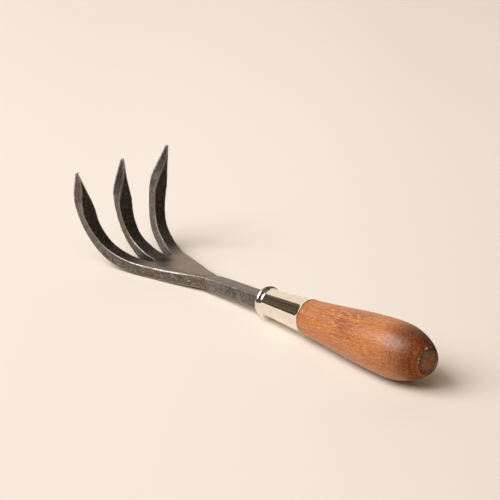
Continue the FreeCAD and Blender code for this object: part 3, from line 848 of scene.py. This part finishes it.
def head_masks(place, normal, convexity, blur):
    """Where the head is worn and where painted highlights lie, and where it is hollow, ground,
    dark on its inner faces, and lit by painted warm light near its points, 0 to 1.
    """
    x, y, z = place.T
    normal_x = normal[:, 0] * COS_TILT - normal[:, 2] * SIN_TILT
    normal_y = normal[:, 1]
    normal_z = normal[:, 0] * SIN_TILT + normal[:, 2] * COS_TILT

    wear_and_highlight = rise(convexity, span=(0.009, 0.027))
    # corners facing up or inwards are the ones that get handled
    wear_and_highlight *= 0.35 + 0.65 * rise(normal_z - 0.55 * normal_x, span=(-0.35, 0.25))
    # higher up the tines only a thread of it is left
    wear_and_highlight *= 1.0 - 0.25 * rise(z, span=(8.0, 26.0))
    # a painted highlight, broader along the palm's +Y edge, fading before the roots of the slots
    broad = blur(wear_and_highlight, keep=0.3, passes=12)
    edge_highlight = fall(x, span=(84.0, 102.0)) * rise(x, span=(57.0, 66.0)) * rise(y, span=(1.0, 3.0))
    wear_and_highlight = wear_and_highlight * (1.0 - 0.15 * edge_highlight) + 1.2 * edge_highlight * broad
    # painted highlight where the palm's top turns down to its +Y side, facing the light
    corner = (rise(np.minimum(normal_y, normal_z), span=(0.22, 0.5))
              * fall(x, span=(94.0, 108.0)) * rise(x, span=(62.0, 84.0)))
    wear_and_highlight = np.maximum(wear_and_highlight * (1.0 - 0.5 * fall(x, span=(60.0, 80.0)) * (y > 0)),
                      0.85 * corner)
    wear_and_highlight = np.clip(wear_and_highlight, 0.0, 1.0)
    # little of it at the roots of the slots
    wear_and_highlight *= 1.0 - 0.75 * ((np.abs(y) < 15.0) * rise(x, span=(94.0, 100.0))
                          * fall(x, span=(108.0, 125.0)))

    # painted warm light on the -Y faces of the tines near their points
    rim = rise(-normal_y, span=(0.25, 0.5)) * rise(z, span=(42.0, 52.0))
    rim = rise(blur(rim, keep=0.3, passes=5), span=(0.05, 0.28))

    inner = rise(np.hypot(np.maximum(normal_z, 0), np.maximum(-normal_x, 0)),
                 span=(0.55, 0.80))
    return {
        "wear_and_highlight": wear_and_highlight,
        "hollow": rise(-convexity, span=(0.010, 0.034)),
        "palm_top": rise(normal_z, span=(0.72, 0.93)) * fall(x, span=(100.0, 122.0)),
        "inner_face": inner * rise(x, span=(101.0, 125.0)),
        "rim": rim}, normal_x


def surface_relief(place, palm_top):
    """Height in mm of the hammer and grinding marks, and of the spots."""
    y, z = place[:, 1], place[:, 2]
    height = (0.13 * noise_field(place, scale=0.09)
              + 0.08 * noise_field(place, scale=0.28, shift=(7, 0, 0))
              + 0.045 * noise_field(place, scale=0.8, shift=(0, 3, 0)))
    height *= 1.0 - 0.6 * palm_top
    height *= 1.0 - 0.6 * rise(z, span=(60.0, 66.0))
    # the smoothing eats a little off the points' arrises; give it back
    height += 0.22 * rise(z, span=(12.0, 40.0))
    for *centre, radius, spot_height in SPOTS:
        offset = (place - np.array(centre)) / radius
        # long in y, so that a spot reaches the surface whatever its depth
        distance2 = offset[:, 0] ** 2 + (offset[:, 1] * 0.35) ** 2 + offset[:, 2] ** 2
        height += spot_height * np.exp(-distance2 * 1.3) * (y > 4)
    return height


def add_burr(mesh):
    """A thread of metal curled over at the +Y point."""
    bm = bmesh.new()
    bm.from_mesh(mesh)
    inner_face_layer = bm.verts.layers.float["inner_face"]
    centres = [Vector(station[:3]) for station in BURR]
    rings = []
    for k, centre in enumerate(centres):
        ahead = centres[min(k + 1, len(centres) - 1)]
        along = (ahead - centres[max(k - 1, 0)]).normalized()
        side = along.cross(Vector((1, 0, 0))).normalized()
        across = side.cross(along).normalized()
        radius = BURR[k][3]
        ring = []
        for i in range(BURR_SIDES):
            a = 2 * math.pi * i / BURR_SIDES
            point = (centre + side * (radius * 0.8 * math.cos(a))
                     + across * (radius * 1.3 * math.sin(a)))
            place = to_frame([point])[0]
            place[1:] = np.minimum(place[1:], inside_hi[1:])
            vertex = bm.verts.new(tuple(place))
            vertex[inner_face_layer] = 0.6
            ring.append(vertex)
        rings.append(ring)
    for a, b in zip(rings, rings[1:]):
        for i in range(BURR_SIDES):
            j = (i + 1) % BURR_SIDES
            bm.faces.new((a[j], a[i], b[i], b[j]))
    bm.faces.new(rings[0])
    bm.faces.new(rings[-1][::-1])
    bm.to_mesh(mesh)
    bm.free()


def build_head():
    ob = remeshed_head()
    mesh = ob.data
    points = read_vectors(mesh, "co")
    place = to_tool(points)
    x, y, z = place.T
    mean = neighbour_mean(mesh)

    def relax(points, weight, passes):
        for _ in range(passes):
            points = points + (mean(points) - points) * (0.5 * weight)[:, None]
        return points

    def blur(values, keep, passes):
        for _ in range(passes):
            values = keep * values + (1.0 - keep) * mean(values)
        return values

    # less rounding near the tips, so that they keep their length
    overall = 1.0 - 0.65 * rise(z, span=(6.0, 22.0)) - 0.35 * rise(z, span=(48.0, 60.0))
    points = relax(points, np.maximum(overall, 0.10), passes=4)
    points = relax(points, fall(x, span=(98.0, 120.0)), passes=7)
    # the palm's +Y upper edge is much rounder
    edge = fall(x, span=(92.0, 112.0)) * rise(y, span=(1.0, 3.0)) * rise(z, span=(-3.6, -1.2))
    points = relax(points, edge, passes=66)
    write_points(mesh, points)

    normal = read_vectors(mesh, "normal")
    convexity = -np.einsum("ij,ij->i", mean(points) - points, normal) * 1000.0
    convexity = blur(convexity, keep=0.4, passes=2)
    masks, normal_x = head_masks(place, normal, convexity, blur)
    for name, values in masks.items():
        attribute = mesh.attributes.new(name, "FLOAT", "POINT")
        attribute.data.foreach_set("value", np.ascontiguousarray(values, dtype=np.float32))

    relief = surface_relief(place, masks["palm_top"])
    points = points + normal * (relief / 1000.0)[:, None]
    # the upper tines are a little fuller towards +Y and +x, metres
    fuller = rise(z, span=(28.0, 44.0))
    points[:, 1] += 0.00045 * fuller * rise(normal[:, 1], span=(0.1, 0.6))
    points[:, 0] += 0.00035 * fuller * rise(normal_x, span=(0.1, 0.6))
    # the +Y point is a little shorter, under its burr
    points[:, 2] -= 0.00065 * (y > 36.0) * rise(z, span=(64.5, 67.6))
    write_points(mesh, np.clip(points, inside_lo, inside_hi))

    add_burr(mesh)
    shade_smooth(mesh)
    mesh.update()
    return finish_piece(ob, STEEL, "tine_head")


# ---------------------------------------------------------- neck, tang and weld
CORNER_STEPS = 7    # arc steps in each corner of the bar's section
SIDE_POINTS = 8     # points between two corners

MOUTH_HALF_WIDTH = 5.25
# ends of the two bars: x, half width, bottom z, top z
NECK_END = (54.4, 5.05, -6.75, 3.2)
HEAD_START = (57.4, 5.1, -6.7, 3.25)

# the neck's lower and upper faces: x, z
NECK_BOTTOM = ((0.0, -5.85), (12.0, -5.87), (25.0, -6.05), (41.0, -6.42),
               (NECK_END[0], NECK_END[2]))
NECK_TOP = ((0.0, 4.78), (22.0, 4.50), (36.0, 4.26), (44.0, 4.00), (50.0, 3.66),
            (NECK_END[0], NECK_END[3]))

TANG_END = BORE_FLOOR - 8.1
THREAD_START = TANG_END + 12.5
THREAD_PITCH = 1.0
THREAD_ROOT, THREAD_CREST = 2.42, 2.97      # radii

WELD_START, WELD_END = 54.15, 58.1


def bar_ring(x, half_width, bottom, top, top_radius, bottom_radius):
    """Ring of points: a bar's section with rounded corners."""
    # corner arcs: centre y, centre z, radius, first angle
    corners = [(half_width - top_radius, top - top_radius, top_radius, 0),
               (-half_width + top_radius, top - top_radius, top_radius, 90),
               (-half_width + bottom_radius, bottom + bottom_radius, bottom_radius, 180),
               (half_width - bottom_radius, bottom + bottom_radius, bottom_radius, 270)]

    def on_arc(corner, turn):
        y, z, radius, start = corner
        a = math.radians(start + turn)
        return y + radius * math.cos(a), z + radius * math.sin(a)

    ring = []
    for k, corner in enumerate(corners):
        for i in range(CORNER_STEPS + 1):
            ring.append((x, *on_arc(corner, 90.0 * i / CORNER_STEPS)))
        y0, z0 = ring[-1][1:]
        y1, z1 = on_arc(corners[(k + 1) % 4], 0.0)
        for j in range(1, SIDE_POINTS + 1):
            f = j / (SIDE_POINTS + 1.0)
            ring.append((x, y0 + (y1 - y0) * f, z0 + (z1 - z0) * f))
    return ring


def worn_in(ring, depth, seed):
    """Moves a ring's points unevenly towards its middle."""
    ring = np.array(ring)
    outward = ring - np.mean(ring, axis=0)
    outward /= np.linalg.norm(outward, axis=1)[:, None]
    broad = noise_field(ring, scale=(0.16, 0.3, 0.3), shift=(seed, 0, 0))
    fine = noise_field(ring, scale=0.7, shift=(seed, 0, 0))
    inset = depth * (broad + 1) / 2 + 0.35 * depth * (fine + 1) / 2
    return ring - outward * inset[:, None]


def build_neck():
    end_x, end_half_width = NECK_END[:2]
    steps = 90
    bar = []
    for i in range(steps, -1, -1):
        x = SHOULDER_X + (end_x - SHOULDER_X) * i / steps
        f = max(0.0, x) / end_x
        ring = bar_ring(x, MOUTH_HALF_WIDTH + (end_half_width - MOUTH_HALF_WIDTH) * f,
                        bottom=float(np.interp(x, *zip(*NECK_BOTTOM))),
                        top=float(np.interp(x, *zip(*NECK_TOP))),
                        top_radius=2.25, bottom_radius=1.9)
        bar.append(worn_in(ring, depth=0.12, seed=4.0))

    # the round tang takes its points at the same angles as the bar's last ring
    angles = [math.atan2(z, y) for x, y, z in bar[-1]]

    def circle(x, r):
        return [(x, r * math.cos(a), r * math.sin(a)) for a in angles]

    tang = [circle(SHOULDER_X, 4.35), circle(SHOULDER_X - 0.25, 4.05),
            circle(SHOULDER_X - 0.6, TANG_RADIUS)]
    tang += [circle(x, TANG_RADIUS) for x in (-20, -40, -60, -80, -100, -118)]
    tang += [circle(THREAD_START + 1.0, TANG_RADIUS), circle(THREAD_START, THREAD_ROOT)]
    x = THREAD_START
    while x - THREAD_PITCH > TANG_END + 0.8:
        tang += [circle(x - 0.44, THREAD_CREST), circle(x - 0.56, THREAD_CREST)]
        x -= THREAD_PITCH
        tang.append(circle(x, THREAD_ROOT))
    tang += [circle(TANG_END + 0.3, 2.6), circle(TANG_END, 2.2)]
    ob = loft("neck_bar_and_tang", bar + tang)
    return finish_piece(ob, NECK, "neck_tang", sharp_angle=40)


def build_weld():
    """A crowned, rippled band between the neck's end and the head."""
    inset = 0.10    # of the band's ends below the bars' faces
    steps = 16
    rings = []
    for i in range(steps + 1):
        f = i / steps
        x = WELD_START + (WELD_END - WELD_START) * f
        g = min(1.0, max(0.0, (x - NECK_END[0]) / (HEAD_START[0] - NECK_END[0])))
        half_width, bottom, top = (a + (b - a) * g
                                   for a, b in zip(NECK_END[1:], HEAD_START[1:]))
        arch = math.sin(math.pi * f)
        crown = 0.16 * arch ** 0.7 + 0.035 * math.sin(f * 21.0) * arch
        half_width += crown - inset
        # the head widens beyond its start
        half_width += 0.12 * max(0.0, x - HEAD_START[0])
        ring = bar_ring(x, half_width, bottom + inset - crown, top - inset + crown,
                        top_radius=2.0, bottom_radius=1.7)
        rings.append(worn_in(ring, depth=0.10, seed=9.0))
    ob = loft("weld_band", rings)
    return finish_piece(ob, WELD, "neck_weld", sharp_angle=50)


# ---------------------------------------------------------------------- ferrule
def build_ferrule():
    """A tapered tube with a round bead at its mouth and a rolled rear lip."""
    mouth_radius = 8.12
    bead_outer, bead = 10.9, 1.9        # overall radius, section radius
    fillet = 2.3                        # hollow between the bead and the barrel
    front_radius, rear_radius = 9.2, 11.95
    wall = 0.9
    rear = -FERRULE_LENGTH

    bead_r = bead_outer - bead
    fillet_r = front_radius + fillet
    fillet_dx = math.sqrt((bead + fillet) ** 2 - (fillet_r - bead_r) ** 2)
    mouth_angle = -math.degrees(math.asin((bead_r - mouth_radius) / bead))
    touch_angle = math.degrees(math.atan2(fillet_r - bead_r, -fillet_dx))
    profile = arc_points(-bead, bead_r, bead, mouth_angle, touch_angle, 36)
    profile += arc_points(-bead - fillet_dx, fillet_r, fillet,
                          touch_angle - 180.0, -90.0, 14)[1:]

    barrel_x, barrel_r = profile[-1]

    def taper(x):
        return barrel_r + (rear_radius - barrel_r) * ((x - barrel_x) / (rear - barrel_x))

    # the barrel stops short of the rear; the lip there bells out and is rolled over
    lip_x = rear + 2.6
    for i in range(1, 41):
        x = barrel_x + (lip_x - barrel_x) * i / 40
        profile.append((x, taper(x)))
    for i in range(1, 11):
        f = i / 10.0
        x = lip_x - 2.3 * f
        profile.append((x, taper(x) + 0.34 * f ** 1.7))
    x, r = profile[-1]
    inner_rear = rear_radius - wall
    profile += [(x - 0.14, r), (x - 0.24, r - 0.08), (rear, r - 0.24), (rear, inner_rear)]

    # straight taper inside, back to the mouth
    inner_front_x = barrel_x - 0.4
    for i in range(1, 21):
        f = i / 20.0
        profile.append((rear + (inner_front_x - rear) * f,
                        inner_rear + (mouth_radius - inner_rear) * f))
    ob = lathe("ferrule_polished", profile, segments=256)
    return finish_piece(ob, NICKEL, "ferrule", sharp_angle=42)


# -------------------------------------------------------------- handle and plug
# distance behind the handle's front, radius
GRIP = [(0.0, 12.05), (8.0, 12.75), (16.3, 13.55), (24.5, 14.45), (32.6, 15.35),
        (40.8, 16.3), (48.9, 17.15), (57.0, 17.85), (65.2, 18.4), (73.5, 18.85),
        (80.5, 18.95), (86.9, 18.4), (92.3, 17.25), (97.8, 15.35), (101.6, 13.65),
        (104.6, 11.95), (107.0, 10.2), (GRIP_LENGTH, 8.75)]
# rounded mouth of the plug's bore: distance in front of the handle's butt, radius
BORE_MOUTH = [(0.03, 8.86), (0.02, 8.74), (0.16, 8.56), (0.42, 8.42), (0.9, 8.3)]
BORE_RADIUS = 8.3
TANG_HOLE_RADIUS = 4.1
# the spigot inside the ferrule
SPIGOT_FRONT_RADIUS, SPIGOT_REAR_RADIUS = 8.4, 10.99

PLUG_RADIUS = 8.24
PLUG_LENGTH = 8.0
# rings on the plug's face, as shares of its radius
PLUG_FACE_RINGS = (0.06, 0.14, 0.22, 0.3, 0.38, 0.46, 0.54, 0.62, 0.7, 0.78, 0.86)
# the plug's rounded edge: distance in from its face, inset from its radius
PLUG_EDGE = ((0.0, 0.7), (0.03, 0.42), (0.12, 0.18), (0.30, 0.04), (0.5, 0.0), (1.0, 0.0))


def build_handle():
    grip = catmull([(HANDLE_FRONT - d, r) for d, r in GRIP], steps=7)[:-1]
    # broken front arris
    grip[0] = (grip[0][0] - 0.30, grip[0][1])
    profile = [(HANDLE_FRONT, 11.6), (HANDLE_FRONT - 0.06, 11.85)] + grip
    profile += [(HANDLE_BUTT + d, r) for d, r in BORE_MOUTH]
    profile += [(HANDLE_BUTT + PLUG_BORE_DEPTH * f, BORE_RADIUS) for f in (0.25, 0.5, 0.75)]
    profile += [(BORE_FLOOR, BORE_RADIUS)]
    profile += [(BORE_FLOOR + (SHOULDER_X - BORE_FLOOR) * f, TANG_HOLE_RADIUS)
                for f in (0.0, 0.2, 0.4, 0.6, 0.8)]
    profile += [(SHOULDER_X, TANG_HOLE_RADIUS), (SHOULDER_X, SPIGOT_FRONT_RADIUS),
                (HANDLE_FRONT, SPIGOT_REAR_RADIUS)]
    ob = lathe("turned_handle", profile, segments=224)

    # the outside is slightly uneven, fading out at the ferrule
    place = to_tool(read_vectors(ob.data, "co"))
    radius = np.hypot(place[:, 1], place[:, 2])
    outside = (radius > 8.72) & (place[:, 0] < HANDLE_FRONT - 1.0)
    skin = place[outside]
    swell = noise_field(skin, scale=(0.03, 0.05, 0.05))
    ridges = noise_field(skin, scale=(0.35, 0.04, 0.04), shift=(0, 3, 0))
    inset = 0.05 * (swell + 1) + 0.012 * (ridges + 1)
    fading = rise(skin[:, 0], span=(HANDLE_FRONT - 1, HANDLE_FRONT - 6))
    place[outside, 1:] *= (1 - inset / radius[outside] * fading)[:, None]
    write_points(ob.data, to_frame(place))
    return finish_piece(ob, WOOD, "handle", sharp_angle=40)


def build_plug():
    inner_x = BUTT_FACE + PLUG_LENGTH
    profile = [(BUTT_FACE, 0.0)]
    profile += [(BUTT_FACE, PLUG_RADIUS * f) for f in PLUG_FACE_RINGS]
    profile += [(BUTT_FACE + d, PLUG_RADIUS - inset) for d, inset in PLUG_EDGE]
    profile += [(inner_x - 0.8, PLUG_RADIUS), (inner_x, PLUG_RADIUS - 0.4),
                (inner_x, PLUG_RADIUS * 0.5), (inner_x, 0.0)]
    ob = lathe("butt_plug_grain", profile, segments=128, closed=False)

    # the sawn face is uneven and its rim chipped
    place = to_tool(read_vectors(ob.data, "co"))
    near_face = place[:, 0] < BUTT_FACE + 0.6
    face = place[near_face]

    def face_noise(scale, slice_at, shift=0):
        """Noise over the face's y and z"""
        return noise_field(face[:, [1, 2, 0]], scale=(scale, scale, 0),
                           shift=(shift, 0, slice_at))

    dents = face_noise(0.45, slice_at=2.0) + 0.5 * face_noise(1.3, slice_at=5.0)
    uneven = face_noise(0.5, slice_at=9.0)
    chips = face_noise(1.1, slice_at=3.0, shift=4)
    inset = 0.10 * (uneven + 1) + 0.75 * np.maximum(0.0, chips)
    radius = np.hypot(face[:, 1], face[:, 2])
    rim = radius > PLUG_RADIUS - 0.5
    face[:, 0] += 0.10 * (dents + 1.0)
    face[rim, 1:] *= (1 - inset[rim] / radius[rim])[:, None]
    place[near_face] = face
    write_points(ob.data, to_frame(place))
    return finish_piece(ob, END_GRAIN, "butt_plug", sharp_angle=50)


build_head()
build_neck()
build_weld()
ferrule = build_ferrule()
build_handle()
build_plug()
for name in ("tang_washer", "tang_nut"):
    part = frame["nodes"][name]
    if len(part.material_slots) == 0:
        part.data.materials.append(ZINC)
    else:
        for material_slot in part.material_slots:
            material_slot.material = ZINC

# ----------------------------------------------------------------------- studio
BACK = Vector((-0.7496, 0.6619, 0.0)).normalized()      # from the rake to the camera, level
RIGHT = Vector((-0.6619, -0.7496, 0.0)).normalized()    # the camera's right, level
FOCUS = Vector((0.16, 0.0, 0.0))                        # what the lights aim at
PAPER = (0.874, 0.816, 0.745)


def build_floor():
    bpy.ops.mesh.primitive_plane_add(size=1.0, location=(FOCUS.x, FOCUS.y, cad_lo.z - 0.00005))
    floor = bpy.context.object
    floor.name = "floor"
    floor.scale = (14.0, 14.0, 1.0)
    material = bpy.data.materials.new("paper_floor")
    material.use_nodes = True
    s = Shader(material.node_tree)
    bsdf = s.tree.nodes["Principled BSDF"]
    s.feed(bsdf.inputs["Roughness"], 0.9)
    s.feed(bsdf.inputs["Specular IOR Level"], 0.15)
    mottle = s.add("TexNoise", {"Scale": 3.0, "Detail": 3.0}).outputs["Fac"]
    paper = s.coats([c * 0.995 for c in PAPER], (mottle, [c * 1.005 for c in PAPER]))

    # painted shade: the paper is darker towards the camera and to either side, standing in for
    # uneven light across the set
    position = s.add("NewGeometry", {}).outputs["Position"]

    def along(axis, span, to):
        """Runs between the `to` values over a span in metres from the focus."""
        start = FOCUS.dot(axis)
        return s.fade(s.dot(position, axis), span=(span[0] + start, span[1] + start), to=to)

    shade = along(BACK, span=(-0.40, 0.36), to=(1.0, 0.915))
    shade = s.times(shade, along(RIGHT, span=(-0.16, -0.05), to=(0.98, 1.0)))
    shade = s.times(shade, along(RIGHT, span=(0.03, 0.16), to=(1.0, 0.965)))
    shaded = s.add("VectorMath", {0: paper, "Scale": shade}, operation="SCALE")
    s.feed(bsdf.inputs["Base Color"], shaded.outputs["Vector"])
    floor.data.materials.append(material)


def build_world():
    """A pale backdrop beyond the rake, and a dark room elsewhere."""
    world = bpy.data.worlds.new("studio")
    bpy.context.scene.world = world
    world.use_nodes = True
    s = Shader(world.node_tree)
    s.tree.nodes.clear()
    output = s.add("OutputWorld", {})
    ray = s.add("TexCoord", {}).outputs["Generated"]
    back, right, up = (s.dot(ray, axis) for axis in (BACK, RIGHT, (0, 0, 1)))
    # degrees; azimuth is 0 behind the camera, + to the right
    azimuth = s.times(s.math("ARCTAN2", right, back), 180.0 / math.pi)
    elevation = s.times(s.math("ARCSINE", up), 180.0 / math.pi)
    backdrop = s.times(s.fade(s.math("ABSOLUTE", azimuth), span=(138.0, 143.0)),
                       s.fade(elevation, span=(44.0, 38.0)))
    overhead = s.fade(elevation, span=(62.0, 74.0))
    below = s.fade(elevation, span=(0.5, -0.5))
    clutter = s.noise(scale=4.5, detail=2.0, rough=0.5, vector=ray)
    color = s.coats(
        (0.070, 0.052, 0.037),
        (s.fade(clutter, span=(0.38, 0.66)), (0.150, 0.113, 0.080)),
        (s.most(backdrop, below), (0.93, 0.82, 0.69)),
        (overhead, (0.9, 0.80, 0.68), 0.22))
    room = s.add("Background", {"Color": color})
    seen = s.add("Background", {"Color": (0.90, 0.80, 0.70)})
    mixed = s.add("MixShader", {0: s.add("LightPath", {}).outputs["Is Camera Ray"],
                                1: room.outputs[0], 2: seen.outputs[0]})
    s.feed(output.inputs[0], mixed.outputs[0])


def area_light(name, azimuth, elevation, distance, size, power, color):
    """A rectangle aimed at the focus; angles as in the world, lengths in metres."""
    light = bpy.data.lights.new(name, "AREA")
    light.shape = "RECTANGLE"
    light.size, light.size_y = size
    light.energy = power
    light.color = color
    ob = bpy.data.objects.new(name, light)
    bpy.context.scene.collection.objects.link(ob)
    a, e = math.radians(azimuth), math.radians(elevation)
    towards = (BACK * (math.cos(e) * math.cos(a)) + RIGHT * (math.cos(e) * math.sin(a))
               + Vector((0, 0, math.sin(e))))
    ob.location = FOCUS + towards * distance
    ob.rotation_mode = "QUATERNION"
    ob.rotation_quaternion = towards.to_track_quat("Z", "Y")
    return ob


def build_lights():
    area_light("key", azimuth=-80.0, elevation=46.0, distance=3.4, size=(3.0, 2.7),
               power=138.0, color=(0.985, 0.985, 1.0))
    fill = area_light("fill_front", azimuth=-18.0, elevation=58.0, distance=4.0,
                      size=(2.9, 2.2), power=45.0, color=(1.0, 0.87, 0.72))
    # the fill light leaves out the ferrule
    unlit = bpy.data.collections.new("not_by_fill")
    unlit.objects.link(ferrule)
    unlit.collection_objects[0].light_linking.link_state = "EXCLUDE"
    fill.light_linking.receiver_collection = unlit


def build_camera():
    data = bpy.data.cameras.new("camera")
    data.sensor_width = 36.0
    data.lens = 180.0
    data.clip_start, data.clip_end = 0.05, 50.0
    camera = bpy.data.objects.new("camera", data)
    scene = bpy.context.scene
    scene.collection.objects.link(camera)
    right = Vector((-0.663822, -0.747866, -0.006048))
    up = Vector((0.290272, -0.265088, 0.919495))
    forward = Vector((0.689262, -0.608626, -0.393056))
    location = Vector((-0.980126, 1.014246, 0.678010))
    camera.matrix_world = Matrix((*zip(right, up, -forward, location), (0, 0, 0, 1)))
    scene.camera = camera
    scene.view_settings.view_transform = "Standard"
    scene.view_settings.look = "None"


build_floor()
build_world()
build_lights()
build_camera()

bpy.context.view_layer.update()
